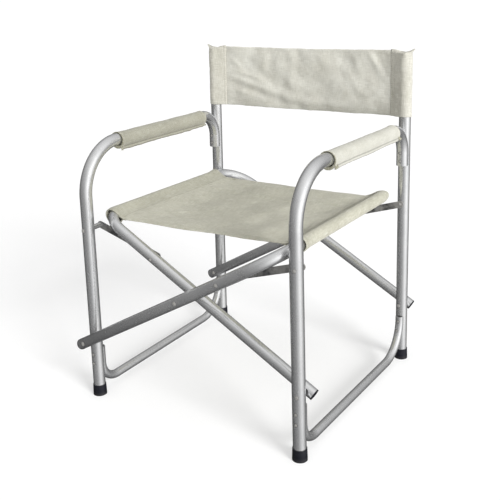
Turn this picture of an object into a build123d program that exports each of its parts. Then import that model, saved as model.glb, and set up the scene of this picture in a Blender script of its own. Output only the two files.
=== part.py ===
from build123d import *
import os
import math

os.makedirs("parts", exist_ok=True)

# ------------------------------------------------------------------
# Folding camp chair: two rigid side frames (front leg bent into an arm,
# back post, lower stretcher) joined by two U-shaped seat frames that cross
# like scissors, four dark struts, a sewn seat sling and a sewn back sling.
# Frame: +Z up, +Y towards the back, +X to the sitter's left-hand side seen
# from the front as "right".  Origin on the floor, midway between the feet.
# ------------------------------------------------------------------

# driving dimensions, millimetres and degrees
HALF_W = 272.0          # half distance between the lower pivots of the side frames
DEPTH = 526.0           # front leg axis to back post axis
Y_SHIFT = DEPTH / 2.0   # moves the front leg axis to y = -263
LEG_OD = 28.0
LEG_WALL = 1.6
SEAT_OD = 25.0
SEAT_WALL = 1.6
STRETCH_OD = 20.0
STRETCH_WALL = 1.5
STRETCH_IN = 12.5       # stretcher end axis to leg axis; the end is cupped on the leg
GAP = 3.0               # room between a leg and a seat frame tube
Z_PIVOT = 144.0         # lower pivots
THETA0 = 29.5           # seat frame angle when open
THETA1 = 75.0           # seat frame angle when folded
FLARE = 4.5             # outward lean each side frame ends at when folded
LEAN = 0.5              # side frames lean inwards at the top when open
TOE = 2.8               # back posts stand this much further out than front legs
RAIL_X = 242.0          # seat rail axis from the middle
SEAT_BEND_NEAR = 52.0   # bend of the leg that runs inside the side frame
SEAT_BEND_FAR = 80.0    # bend of the leg that runs outside it
SEAT_TAIL = 18.0        # seat frame tube beyond its lower pivot
STRUT_H = 264.0         # strut pivot above the lower pivot
STRUT_W = 16.0
STRUT_T = 2.4
ARM_Z = 595.0
ARM_R_FRONT = 112.0
ARM_R_REAR = 58.0
ARM_REAR_Y = 514.0      # axis of the arm tube's end, cupped on the front of the back post
ARM_END_Z = 505.0
POST_TOP = 766.0
STRETCH_Z = 25.0
STRETCH_TOP = 117.0
STRETCH_R_FRONT = 50.0
STRETCH_R_REAR = 85.0
CAP_OD = 31.5
CAP_H = 26.0
CAP_FLOOR = 3.0
SLEEVE_R = 18.0         # armrest sleeve, outside
SLEEVE_WALL = 1.4
SLEEVE_Y0 = 122.0
SLEEVE_Y1 = 450.0
PIN_R = 3.0
RIVET_R = 2.4
RUN = 0.06              # running clearance of a hinge pin, radial
POCKET_IN = 12.9
POCKET_OUT = 14.3
SEAT_Y0 = 50.0
SEAT_Y1 = 482.0
SLING_T = 2.0
BACK_Z0 = 621.0
BACK_Z1 = 773.0
BACK_POCKET_IN = 14.4
BACK_POCKET_OUT = 15.9

LEG_R = LEG_OD / 2
SEAT_R = SEAT_OD / 2
OFF = LEG_R + GAP + SEAT_R          # seat frame leg axis from the leg plane
C = HALF_W / math.cos(math.radians(THETA0))      # pivot to crossing
S_RAIL = (HALF_W + RAIL_X) / math.cos(math.radians(THETA0))
Z_CROSS = Z_PIVOT + C * math.sin(math.radians(THETA0))
TOE_DEG = math.degrees(math.atan(TOE / (DEPTH / 2)))

# strut eye on the seat frame tube: the strut is one fixed length both open
# and folded, which fixes how far along the tube its eye sits
STRUT_X = HALF_W - STRUT_H * math.tan(math.radians(LEAN))
V0 = (STRUT_X - HALF_W, STRUT_H)


def strut_gap(s):
    out = []
    for th, tilt in ((THETA0, 0.0), (THETA1, FLARE)):
        t = math.radians(th)
        a = math.radians(tilt)
        vx = V0[0] * math.cos(a) + V0[1] * math.sin(a)
        vz = -V0[0] * math.sin(a) + V0[1] * math.cos(a)
        tx = (s - 2 * C) * math.cos(t)
        tz = s * math.sin(t)
        out.append(math.hypot(vx - tx, vz - tz))
    return out[0] - out[1]


lo, hi = 350.0, 560.0
for _ in range(80):
    mid = (lo + hi) / 2
    if strut_gap(lo) * strut_gap(mid) <= 0:
        hi = mid
    else:
        lo = mid
S_EYE = (lo + hi) / 2
EYE_X = S_EYE * math.cos(math.radians(THETA0)) - HALF_W
EYE_Z = Z_PIVOT + S_EYE * math.sin(math.radians(THETA0))
STRUT_PIV_Z = Z_PIVOT + STRUT_H
STRUT_L = math.hypot(STRUT_X - EYE_X, STRUT_PIV_Z - EYE_Z)


def strut_turn():
    # angle of the strut about +Y relative to the right side frame
    def ang(th, tilt):
        t = math.radians(th)
        tx = (S_EYE - 2 * C) * math.cos(t)
        tz = S_EYE * math.sin(t)
        a = math.radians(-tilt)
        rx = tx * math.cos(a) + tz * math.sin(a)
        rz = -tx * math.sin(a) + tz * math.cos(a)
        return math.degrees(math.atan2(rx - V0[0], rz - V0[1]))
    a0 = ang(THETA0, 0.0)
    a1 = ang(THETA1, FLARE)
    return (a1 - a0 + 360.0) % 360.0


FOLD = THETA1 - THETA0 - FLARE
print("crossing z", round(Z_CROSS, 2), "rail z", round(Z_PIVOT + S_RAIL * math.sin(math.radians(THETA0)), 2))
print("strut eye x", round(EYE_X, 3), "z", round(EYE_Z, 3), "s", round(S_EYE, 3), "strut length", round(STRUT_L, 3))
print("strut pivot x", round(STRUT_X, 3), "z", STRUT_PIV_Z)
print("fold", FOLD, "ratio seat B", -2 * (THETA1 - THETA0) / FOLD, "strut turn", round(strut_turn(), 4),
      "ratio", round(strut_turn() / FOLD, 6))

# ------------------------------------------------------------------
# helpers.  Side frame pieces are drawn in a flat local frame (x = 0 is the
# frame's plane, y = 0 the front leg) and then placed with the lean and toe.
# ------------------------------------------------------------------


def place(side):
    s = 1 if side == "right" else -1
    return (Location((s * HALF_W, Y_SHIFT, Z_PIVOT))
            * Location((0, 0, 0), (0, 0, -s * TOE_DEG))
            * Location((0, 0, 0), (0, -s * LEAN, 0))
            * Location((0, -Y_SHIFT, -Z_PIVOT)))


SHIFT = Location((0, -Y_SHIFT, 0))


def save(shape, name, color):
    shape = SHIFT * shape
    shape.color = Color(*color)
    shape.label = name
    export_step(shape, "parts/" + name + ".step")


ALU = (0.78, 0.79, 0.8)
DARK = (0.16, 0.16, 0.17)
BLACK = (0.05, 0.05, 0.06)
SEATC = (0.66, 0.65, 0.58)
BACKC = (0.83, 0.82, 0.77)
STEEL = (0.6, 0.61, 0.62)


def cyl_y(r, y0, y1, x, z):
    # cylinder along Y between y0 and y1
    return Location((x, (y0 + y1) / 2, z), (90, 0, 0)) * Cylinder(r, abs(y1 - y0))


def dome(r, h, y, x, z, sgn):
    # low domed head: flat side at y, bulging towards sgn along Y
    big = (r * r + h * h) / (2 * h)
    ball = Location((x, y + sgn * (h - big), z)) * Sphere(big)
    keep = Location((x, y + sgn * big, z)) * Box(4 * big, 2 * big, 4 * big)
    return ball & keep


def rivet(r, y0, y1, x, z, hr, hh, heads=(True, True)):
    body = cyl_y(r, y0, y1, x, z)
    if heads[0]:
        body = body + dome(hr, hh, y0, x, z, -1)
    if heads[1]:
        body = body + dome(hr, hh, y1, x, z, 1)
    return body


def tube_sweep(points, radii, ro, ri):
    path = FilletPolyline(*points, radius=radii) if radii else Polyline(*points)
    p0 = path @ 0
    d0 = path % 0
    plane = Plane(origin=p0, z_dir=d0)
    ring = plane * (Circle(ro) - Circle(ri)) if ri > 0 else plane * Circle(ro)
    return sweep(ring, path=path)


# ------------------------------------------------------------------
# side frame pieces, local
# ------------------------------------------------------------------

front_leg_solid = Location((0, 0, 300)) * Cylinder(LEG_R, 700)
post_solid = Location((0, DEPTH, 400)) * Cylinder(LEG_R, 900)


def arm_leg_local():
    t = tube_sweep([(0, 0, CAP_FLOOR), (0, 0, ARM_Z), (0, ARM_REAR_Y, ARM_Z), (0, ARM_REAR_Y, ARM_END_Z)],
                   [ARM_R_FRONT, ARM_R_REAR], LEG_R, LEG_R - LEG_WALL)
    return t - post_solid


def post_local():
    o = Location((0, DEPTH, (CAP_FLOOR + POST_TOP) / 2)) * Cylinder(LEG_R, POST_TOP - CAP_FLOOR)
    i = Location((0, DEPTH, (CAP_FLOOR + POST_TOP) / 2)) * Cylinder(LEG_R - LEG_WALL, POST_TOP)
    return o - i


def stretcher_local():
    r = STRETCH_OD / 2
    ya = STRETCH_IN
    yb = DEPTH - STRETCH_IN
    t = tube_sweep([(0, ya, STRETCH_TOP), (0, ya, STRETCH_Z), (0, yb, STRETCH_Z), (0, yb, STRETCH_TOP)],
                   [STRETCH_R_FRONT, STRETCH_R_REAR], r, r - STRETCH_WALL)
    return t - front_leg_solid - post_solid


def cap_local(y):
    body = Location((0, y, CAP_H / 2 - 0.2)) * Cone(CAP_OD / 2 + 0.3, CAP_OD / 2 - 0.4, CAP_H + 0.4)
    body = body - Location((0, y, CAP_FLOOR + 20)) * Cylinder(LEG_R, 40)
    return body


def add_grooves(body, y):
    # two shallow grip grooves round the cap
    for z in (9.0, 13.0):
        ring = Location((0, y, z)) * (Cylinder(CAP_OD / 2 + 2, 0.8) - Cylinder(CAP_OD / 2 - 0.35, 0.8))
        body = body - ring
    return body


def plug_local():
    head = Location((0, DEPTH, POST_TOP + 1.0)) * Cylinder(LEG_R - 0.2, 2.0)
    stem = Location((0, DEPTH, POST_TOP - 7.0)) * Cylinder(LEG_R - LEG_WALL, 14.0)
    hollow = Location((0, DEPTH, POST_TOP - 9.0)) * Cylinder(LEG_R - LEG_WALL - 2.0, 14.0)
    return head + stem - hollow


def sleeve_local():
    o = Location((0, (SLEEVE_Y0 + SLEEVE_Y1) / 2, ARM_Z), (90, 0, 0)) * Cylinder(SLEEVE_R, SLEEVE_Y1 - SLEEVE_Y0)
    i = Location((0, (SLEEVE_Y0 + SLEEVE_Y1) / 2, ARM_Z), (90, 0, 0)) * Cylinder(SLEEVE_R - SLEEVE_WALL, SLEEVE_Y1)
    return o - i


ARM_RIVET_Z = (536.0, 516.5)
STRETCH_RIVET_Z = (105.6, 82.9)


def arm_rivets_local():
    out = []
    for z in ARM_RIVET_Z:
        out.append(rivet(RIVET_R, ARM_REAR_Y - LEG_R, DEPTH + LEG_R, 0, z, 4.2, 1.8))
    return out


def stretcher_rivets_local():
    out = []
    r = STRETCH_OD / 2
    for z in STRETCH_RIVET_Z:
        out.append(rivet(RIVET_R, -LEG_R, STRETCH_IN + r, 0, z, 4.2, 1.8))
        # the rear pair passes through the start of the bend, so its inner
        # heads sit further forward, clear of the tube's slope
        drop = max(0.0, STRETCH_Z + STRETCH_R_REAR - (z - 4.2))
        y_face = ((STRETCH_R_REAR - r) ** 2 - drop ** 2) ** 0.5 - STRETCH_R_REAR
        y_head = DEPTH - STRETCH_IN + y_face - 0.05
        out.append(rivet(RIVET_R, y_head, DEPTH + LEG_R, 0, z, 4.2, 1.8))
    return out


def drill(shape, tools):
    for t in tools:
        shape = shape - t
    return shape


def hole_y(r, x, z):
    return Location((x, Y_SHIFT, z), (90, 0, 0)) * Cylinder(r, 900)


# ------------------------------------------------------------------
# seat frames: frame A carries the left rail and pivots on the right legs,
# frame B is the same part turned half round about the vertical
# ------------------------------------------------------------------


def seat_path(tail=True):
    # drawn with the lower ends on the +X side; legs in planes y = ya and yb
    ct, st = math.cos(math.radians(THETA0)), math.sin(math.radians(THETA0))
    ya, yb = OFF, DEPTH + OFF
    k = -SEAT_TAIL
    p = lambda s, y: (HALF_W - s * ct, y, Z_PIVOT + s * st)
    return [p(k, ya), p(S_RAIL, ya), p(S_RAIL, yb), p(k, yb)]


half_turn = Location((0, Y_SHIFT, 0)) * Location((0, 0, 0), (0, 0, 180)) * Location((0, -Y_SHIFT, 0))

seat_tube = tube_sweep(seat_path(), [SEAT_BEND_NEAR, SEAT_BEND_FAR], SEAT_R, SEAT_R - SEAT_WALL)
seat_solid = tube_sweep(seat_path(), [SEAT_BEND_NEAR, SEAT_BEND_FAR], SEAT_R, 0)
seat_pocket_full = tube_sweep(seat_path(), [SEAT_BEND_NEAR, SEAT_BEND_FAR], POCKET_OUT, POCKET_IN)

# holes of frame A: lower pivot on the right, crossing, strut eye
A_holes = [hole_y(PIN_R + RUN, HALF_W, Z_PIVOT), hole_y(PIN_R, 0, Z_CROSS), hole_y(RIVET_R + 0.01, -EYE_X, EYE_Z)]
B_holes = [hole_y(PIN_R + RUN, -HALF_W, Z_PIVOT), hole_y(PIN_R + RUN, 0, Z_CROSS), hole_y(RIVET_R + 0.01, EYE_X, EYE_Z)]

frame_a = drill(seat_tube, A_holes)
frame_b = drill(half_turn * seat_tube, B_holes)
save(frame_a, "seat_frame_left_rail", ALU)
save(frame_b, "seat_frame_right_rail", ALU)


def end_plugs():
    out = []
    ct, st = math.cos(math.radians(THETA0)), math.sin(math.radians(THETA0))
    for y in (OFF, DEPTH + OFF):
        base = (HALF_W + SEAT_TAIL * ct, y, Z_PIVOT - SEAT_TAIL * st)
        pl = Plane(origin=base, z_dir=(ct, 0, -st))
        head = pl * (Location((0, 0, 0.8)) * Cylinder(SEAT_R, 1.6))
        stem = pl * (Location((0, 0, -4.5)) * Cylinder(SEAT_R - SEAT_WALL, 9.0))
        dish = pl * (Location((0, 0, 0.6)) * Cylinder(SEAT_R - 3.2, 3.0))
        out.append(head + stem - dish)
    return out


plugs = end_plugs()
save(Compound(children=[*plugs]), "tube_end_plugs_left_rail", BLACK)
save(Compound(children=[half_turn * p for p in end_plugs()]), "tube_end_plugs_right_rail", BLACK)

# crossing pins, carried by frame A, with the long spacers between the tubes
cross_pins = []
cross_spacers = []
for yo in (0.0, DEPTH):
    cross_pins.append(rivet(PIN_R, yo - OFF - SEAT_R - 0.1, yo + OFF + SEAT_R + 0.1, 0, Z_CROSS, 5.0, 1.7))
    sp = cyl_y(7.5, yo - LEG_R - GAP + 0.15, yo + LEG_R + GAP + 5.0, 0, Z_CROSS) - cyl_y(PIN_R, yo - 60, yo + 60, 0, Z_CROSS)
    cross_spacers.append(sp - seat_solid)
save(Compound(children=cross_pins), "crossing_pins", STEEL)
save(Compound(children=cross_spacers), "crossing_spacers", BLACK)

# strut eye rivets on the seat frames (the eye's own stub is on the strut)
eyeA = [rivet(RIVET_R, OFF - SEAT_R, OFF + SEAT_R, -EYE_X, EYE_Z, 4.2, 1.5, (True, False)),
        rivet(RIVET_R, DEPTH + OFF - SEAT_R, DEPTH + OFF + SEAT_R, -EYE_X, EYE_Z, 4.2, 1.5, (False, True))]
save(Compound(children=eyeA), "strut_eye_rivets_left_rail", STEEL)
eyeB = [rivet(RIVET_R, -OFF - SEAT_R, LEG_R - 0.05, EYE_X, EYE_Z, 4.6, 1.6, (True, False)),
        rivet(RIVET_R, DEPTH - OFF - SEAT_R, DEPTH - OFF + SEAT_R, EYE_X, EYE_Z, 4.6, 1.6, (True, False))]
save(Compound(children=eyeB), "strut_eye_rivets_right_rail", STEEL)
b_solid = half_turn * seat_solid
eye_sleeve = (cyl_y(5.5, -LEG_R - GAP - 4.0, LEG_R - 0.05, EYE_X, EYE_Z)
              - cyl_y(RIVET_R, -60, 60, EYE_X, EYE_Z) - b_solid)
save(eye_sleeve, "strut_eye_spacer_front_right", BLACK)

# ------------------------------------------------------------------
# side frames
# ------------------------------------------------------------------

legs_local = {"front": 0.0, "rear": DEPTH}
for side in ("right", "left"):
    s = 1 if side == "right" else -1
    T = place(side)
    world_holes = [hole_y(PIN_R, s * HALF_W, Z_PIVOT), hole_y(PIN_R, s * STRUT_X, STRUT_PIV_Z)]
    ar = arm_rivets_local()
    sr = stretcher_rivets_local()
    cores_arm = [cyl_y(RIVET_R, ARM_REAR_Y - 40, DEPTH + 40, 0, z) for z in ARM_RIVET_Z]
    cores_str = [cyl_y(RIVET_R, -40, DEPTH + 40, 0, z) for z in STRETCH_RIVET_Z]
    leg = T * drill(arm_leg_local(), cores_arm + cores_str)
    leg = drill(leg, world_holes)
    post = T * drill(post_local(), cores_arm + cores_str)
    post = drill(post, world_holes)
    stretcher = T * drill(stretcher_local(), cores_str)
    save(leg, "arm_leg_tube_" + side, ALU)
    save(post, "back_post_" + side, ALU)
    save(stretcher, "stretcher_" + side, ALU)
    save(Compound(children=[T * r for r in ar]), "arm_rivets_" + side, STEEL)
    save(Compound(children=[T * r for r in sr]), "stretcher_rivets_" + side, STEEL)
    floor_cut = Location((0, Y_SHIFT, -50)) * Box(2000, 2000, 100)
    for end, yy in legs_local.items():
        cap = T * add_grooves(cap_local(yy), yy) - floor_cut
        save(cap, "foot_cap_" + end + "_" + side, BLACK)
    save(T * plug_local(), "post_plug_" + side, BLACK)
    save(T * sleeve_local(), "arm_sleeve_" + side, BACKC)

    leg_cyl = T * front_leg_solid
    post_cyl = T * post_solid
    pins = []
    spacers = []
    for yo, tube in ((0.0, leg_cyl), (DEPTH, post_cyl)):
        if side == "right":
            pins.append(rivet(PIN_R, yo - LEG_R, yo + OFF + SEAT_R + 0.1, s * HALF_W, Z_PIVOT, 5.0, 1.7))
            sp = cyl_y(9.0, yo + 6.0, yo + LEG_R + GAP - 0.15, s * HALF_W, Z_PIVOT)
        else:
            pins.append(rivet(PIN_R, yo - OFF - SEAT_R - 0.1, yo + LEG_R, s * HALF_W, Z_PIVOT, 5.0, 1.7))
            sp = cyl_y(9.0, yo - LEG_R - GAP + 0.15, yo - 6.0, s * HALF_W, Z_PIVOT)
        spacers.append(sp - tube - cyl_y(PIN_R, yo - 60, yo + 60, s * HALF_W, Z_PIVOT))
    save(Compound(children=pins), "lower_pivot_pins_" + side, STEEL)
    save(Compound(children=spacers), "lower_pivot_spacers_" + side, BLACK)

    # strut pivots on the legs
    g = 0.3
    if side == "right":
        sf = (LEG_R + g, LEG_R + g + STRUT_T)
        srr = (DEPTH - LEG_R - g - STRUT_T, DEPTH - LEG_R - g)
        pf = rivet(PIN_R, -LEG_R, sf[1] + 0.1, s * STRUT_X, STRUT_PIV_Z, 4.6, 1.6)
        pr = rivet(PIN_R, srr[0] - 0.1, DEPTH + LEG_R, s * STRUT_X, STRUT_PIV_Z, 4.6, 1.6)
    else:
        sf = (OFF + SEAT_R + g, OFF + SEAT_R + g + STRUT_T)
        srr = (DEPTH + LEG_R + g, DEPTH + LEG_R + g + STRUT_T)
        pf = rivet(PIN_R, -LEG_R, sf[1] + 0.1, s * STRUT_X, STRUT_PIV_Z, 4.6, 1.6)
        pr = rivet(PIN_R, DEPTH - LEG_R, srr[1] + 0.1, s * STRUT_X, STRUT_PIV_Z, 4.6, 1.6)
        sp = (cyl_y(6.0, 6.0, sf[0] - 0.1, s * STRUT_X, STRUT_PIV_Z) - leg_cyl
              - cyl_y(PIN_R, -60, 60, s * STRUT_X, STRUT_PIV_Z))
        save(sp, "strut_spacer_front_left", BLACK)
    save(Compound(children=[pf, pr]), "strut_pivot_pins_" + side, STEEL)

    # struts: flat bars with round ends
    ang = math.degrees(math.atan2(STRUT_PIV_Z - EYE_Z, STRUT_X - EYE_X))
    for end, (y0, y1) in (("front", sf), ("rear", srr)):
        mx, mz = (STRUT_X + EYE_X) / 2, (STRUT_PIV_Z + EYE_Z) / 2
        pl = Plane(origin=(s * mx, y1, mz), x_dir=(s * math.cos(math.radians(ang)), 0, math.sin(math.radians(ang))),
                   z_dir=(0, -1, 0))
        bar = extrude(pl * SlotOverall(STRUT_L + STRUT_W, STRUT_W), amount=STRUT_T, dir=(0, -1, 0))
        bar = bar - cyl_y(PIN_R + RUN, y0 - 5, y1 + 5, s * STRUT_X, STRUT_PIV_Z)
        bar = bar - cyl_y(RIVET_R, y0 - 5, y1 + 5, s * EYE_X, EYE_Z)
        save(bar, "strut_" + end + "_" + side, DARK)
        # stub of the eye, riveted in the strut, ends flush on the tube's side
        if side == "right" and end == "rear":
            stub = rivet(RIVET_R, y0, y1, s * EYE_X, EYE_Z, 4.4, 1.4, (False, True))
        elif side == "left" and end == "rear":
            stub = rivet(RIVET_R, y0, y1, s * EYE_X, EYE_Z, 4.4, 1.4, (True, False))
        else:
            stub = rivet(RIVET_R, y0, y1, s * EYE_X, EYE_Z, 4.4, 1.4, (False, True))
        save(stub, "strut_stub_" + end + "_" + side, STEEL)

# ------------------------------------------------------------------
# slings: sewn pockets round the tubes and a flat panel between them
# ------------------------------------------------------------------
zr = Z_PIVOT + S_RAIL * math.sin(math.radians(THETA0))
band = Location((0, (SEAT_Y0 + SEAT_Y1) / 2, zr)) * Box(1200, SEAT_Y1 - SEAT_Y0, 400)
pocket_a = seat_pocket_full & band
pocket_b = (half_turn * seat_pocket_full) & band
save(pocket_a, "seat_pocket_left", SEATC)
save(pocket_b, "seat_pocket_right", SEATC)
x0 = -RAIL_X + POCKET_OUT + 0.4
x1 = RAIL_X - POCKET_OUT - 0.8
# the middle of the panel; its short ends clear the tube bends
seat_panel = Location(((x0 + x1) / 2, (SEAT_Y0 + SEAT_Y1) / 2, zr - 3.0)) * Box(x1 - x0, SEAT_Y1 - SEAT_Y0, SLING_T)
seat_panel = seat_panel - tube_sweep(seat_path(), [SEAT_BEND_NEAR, SEAT_BEND_FAR], POCKET_OUT + 0.4, 0)
seat_panel = seat_panel - half_turn * tube_sweep(seat_path(), [SEAT_BEND_NEAR, SEAT_BEND_FAR], POCKET_OUT + 0.8, 0)
ps = seat_panel.solids()
seat_panel = max(ps, key=lambda q: q.volume)
save(seat_panel, "seat_panel", SEATC)


def back_pocket_local():
    h = BACK_Z1 - BACK_Z0
    o = Location((0, DEPTH, BACK_Z0 + h / 2)) * Cylinder(BACK_POCKET_OUT, h)
    i = Location((0, DEPTH, BACK_Z0 + (h - 2.0) / 2)) * Cylinder(BACK_POCKET_IN, h - 2.0)
    return o - i


save(place("right") * back_pocket_local(), "back_pocket_right", BACKC)
save(place("left") * back_pocket_local(), "back_pocket_left", BACKC)


def inner_x(z):
    # inner side of the right back pocket at height z
    v = place("right") * Location((0, DEPTH, z))
    return v.position.X - BACK_POCKET_OUT


xb0, xb1 = inner_x(BACK_Z0 + 4), inner_x(BACK_Z1 - 4)
yb = (place("right") * Location((0, DEPTH, 700))).position.Y
pts = [(-xb0 + 0.8, BACK_Z0 + 4), (xb0 - 0.4, BACK_Z0 + 4), (xb1 - 0.4, BACK_Z1 - 4), (-xb1 + 0.8, BACK_Z1 - 4)]
pl = Plane(origin=(0, yb + SLING_T / 2, 0), x_dir=(1, 0, 0), z_dir=(0, -1, 0))
back_panel = extrude(pl * Polygon(*pts, align=None), amount=SLING_T, dir=(0, -1, 0))
save(back_panel, "back_panel", BACKC)
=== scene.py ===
import bpy
import math
import numpy as np
from mathutils import Matrix, Vector


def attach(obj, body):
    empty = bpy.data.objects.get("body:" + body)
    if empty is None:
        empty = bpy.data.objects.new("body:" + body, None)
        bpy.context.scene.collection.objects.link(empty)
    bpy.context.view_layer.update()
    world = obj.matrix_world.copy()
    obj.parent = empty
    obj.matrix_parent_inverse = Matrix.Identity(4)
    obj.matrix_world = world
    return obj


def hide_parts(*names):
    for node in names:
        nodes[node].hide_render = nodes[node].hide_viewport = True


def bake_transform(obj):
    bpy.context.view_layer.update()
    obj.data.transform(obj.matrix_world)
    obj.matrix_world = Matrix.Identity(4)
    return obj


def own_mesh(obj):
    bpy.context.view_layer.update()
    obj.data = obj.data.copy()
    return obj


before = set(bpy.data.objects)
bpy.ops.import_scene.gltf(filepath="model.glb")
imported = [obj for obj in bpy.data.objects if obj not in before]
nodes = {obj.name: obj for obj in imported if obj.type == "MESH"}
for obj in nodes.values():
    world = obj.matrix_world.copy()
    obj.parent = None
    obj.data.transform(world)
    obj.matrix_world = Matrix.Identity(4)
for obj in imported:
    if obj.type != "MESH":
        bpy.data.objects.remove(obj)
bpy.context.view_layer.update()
MM = 0.001

# ------------------------------------------------------------------
# camera, at the photograph's viewing angle
# ------------------------------------------------------------------
YAW, PITCH, ROLL = math.radians(32.785), math.radians(14.915), math.radians(-1.527)
fwd = Vector((-math.sin(YAW) * math.cos(PITCH), math.cos(YAW) * math.cos(PITCH), -math.sin(PITCH)))
r0 = Vector((math.cos(YAW), math.sin(YAW), 0.0))
u0 = r0.cross(fwd)
cam_r = math.cos(ROLL) * r0 + math.sin(ROLL) * u0
cam_u = -math.sin(ROLL) * r0 + math.cos(ROLL) * u0
cam_data = bpy.data.cameras.new("camera")
cam = bpy.data.objects.new("camera", cam_data)
bpy.context.scene.collection.objects.link(cam)
m = Matrix.Identity(4)
for i in range(3):
    m[i][0], m[i][1], m[i][2] = cam_r[i], cam_u[i], -fwd[i]
m[0][3], m[1][3], m[2][3] = 0.95934, -1.50402, 0.93364
cam.matrix_world = m
cam_data.sensor_width = 36.0
cam_data.lens = 793.92 / 500.0 * 36.0
cam_data.shift_x = (250.0 - 247.1) / 500.0
cam_data.shift_y = (194.9 - 250.0) / 500.0
cam_data.clip_end = 500.0
bpy.context.scene.camera = cam

# ------------------------------------------------------------------
# node material helpers
# ------------------------------------------------------------------


class Mat:
    def __init__(self, name):
        self.m = bpy.data.materials.new(name)
        self.m.use_nodes = True
        self.t = self.m.node_tree
        self.b = next(n for n in self.t.nodes if n.type == "BSDF_PRINCIPLED")

    def node(self, kind, **props):
        n = self.t.nodes.new(kind)
        for k, v in props.items():
            setattr(n, k, v)
        return n

    def link(self, a, b):
        self.t.links.new(a, b)

    def put(self, sock, v):
        if hasattr(v, "is_output"):
            self.link(v, sock)
        else:
            sock.default_value = v

    def math(self, op, a, b=0.0, c=0.0, clamp=False):
        n = self.node("ShaderNodeMath", operation=op, use_clamp=clamp)
        for s, v in zip(n.inputs, (a, b, c)):
            self.put(s, v)
        return n.outputs[0]

    def mix(self, f, a, b, blend="MIX"):
        n = self.node("ShaderNodeMix", data_type="RGBA", blend_type=blend)
        self.put(n.inputs[0], f)
        for s, v in ((n.inputs[6], a), (n.inputs[7], b)):
            if hasattr(v, "is_output"):
                self.link(v, s)
            else:
                s.default_value = (*v, 1.0)
        return n.outputs[2]

    def ramp(self, f, lo, hi, a=0.0, b=1.0):
        n = self.node("ShaderNodeMapRange")
        n.clamp = True
        self.put(n.inputs[0], f)
        for s, v in zip(n.inputs[1:5], (lo, hi, a, b)):
            self.put(s, v)
        return n.outputs[0]

    def noise(self, vec, scale, detail=2.0, rough=0.5, dist=0.0):
        n = self.node("ShaderNodeTexNoise")
        n.inputs["Scale"].default_value = scale
        n.inputs["Detail"].default_value = detail
        n.inputs["Roughness"].default_value = rough
        n.inputs["Distortion"].default_value = dist
        if vec is not None:
            self.link(vec, n.inputs["Vector"])
        return n.outputs["Fac"]

    def scaled(self, vec, s):
        n = self.node("ShaderNodeVectorMath", operation="MULTIPLY")
        self.link(vec, n.inputs[0])
        n.inputs[1].default_value = s
        return n.outputs[0]

    def coords(self):
        return self.node("ShaderNodeTexCoord").outputs["Object"]

    def set(self, **kw):
        for k, v in kw.items():
            s = self.b.inputs[k.replace("_", " ")]
            if hasattr(v, "is_output"):
                self.link(v, s)
            elif isinstance(v, tuple) and len(v) == 3:
                s.default_value = (*v, 1.0)
            else:
                s.default_value = v

    def bump(self, h, strength, dist):
        n = self.node("ShaderNodeBump")
        n.inputs["Strength"].default_value = strength
        n.inputs["Distance"].default_value = dist
        self.link(h, n.inputs["Height"])
        self.link(n.outputs[0], self.b.inputs["Normal"])


def aluminium(name, turn, z0, z1, tone=1.0, painted_shade_low=None):
    # drawn tube: fine lines run along the tube.  Below z0 they follow a
    # direction turned by `turn` degrees from vertical in XZ, above z1 they
    # run along Y.
    k = Mat(name)
    co = k.coords()
    rot = k.node("ShaderNodeVectorRotate", rotation_type="Y_AXIS")
    k.link(co, rot.inputs["Vector"])
    rot.inputs["Angle"].default_value = math.radians(turn)
    along_z = k.scaled(rot.outputs[0], (1.0, 1.0, 0.03))
    along_y = k.scaled(co, (1.0, 0.03, 1.0))
    sep = k.node("ShaderNodeSeparateXYZ")
    k.link(co, sep.inputs[0])
    up = k.ramp(sep.outputs["Z"], z0, z1)
    streak_z = k.noise(along_z, 700.0, 3.0, 0.6)
    streak_y = k.noise(along_y, 700.0, 3.0, 0.6)
    mixf = k.node("ShaderNodeMix", data_type="FLOAT")
    k.link(up, mixf.inputs[0])
    k.link(streak_z, mixf.inputs[2])
    k.link(streak_y, mixf.inputs[3])
    streak = mixf.outputs[0]
    blotch = k.noise(co, 14.0, 4.0, 0.6)
    smudge = k.ramp(k.noise(co, 38.0, 5.0, 0.65, 0.4), 0.52, 0.74)
    speck = k.ramp(k.noise(co, 420.0, 2.0, 0.5), 0.66, 0.78)
    scr = k.ramp(k.noise(k.scaled(rot.outputs[0], (1.0, 1.0, 0.22)), 160.0, 2.0, 0.5, 1.2), 0.66, 0.70)
    base = k.mix(k.ramp(blotch, 0.3, 0.7), tuple(tone * x for x in (0.77, 0.775, 0.785)),
                 tuple(tone * x for x in (0.86, 0.862, 0.862)))
    base = k.mix(k.math("MULTIPLY", smudge, 0.22), base, tuple(tone * x for x in (0.58, 0.58, 0.585)))
    base = k.mix(k.math("MULTIPLY", speck, 0.18), base, (0.46, 0.46, 0.46))
    base = k.mix(k.math("MULTIPLY", scr, 0.10), base, (0.9, 0.9, 0.9))
    if painted_shade_low:
        # painted shade, darker towards the low end: (shade starts above, full shade below, amount)
        shade_starts, full, amount = painted_shade_low
        base = k.mix(k.ramp(sep.outputs["Z"], full, shade_starts, amount, 0.0), base, (0.27, 0.27, 0.275))
    k.set(Base_Color=base, Metallic=0.92)
    rgh = k.math("ADD", k.ramp(streak, 0.25, 0.75, 0.19, 0.27), k.math("MULTIPLY", smudge, 0.07))
    k.set(Roughness=rgh)
    k.b.inputs["Specular IOR Level"].default_value = 0.5
    h = k.math("ADD", k.math("MULTIPLY", streak, 0.6), k.math("MULTIPLY", speck, -0.5))
    h = k.math("ADD", h, k.math("MULTIPLY", scr, -0.6))
    k.bump(h, 0.16, 0.00007)
    return k.m


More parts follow.
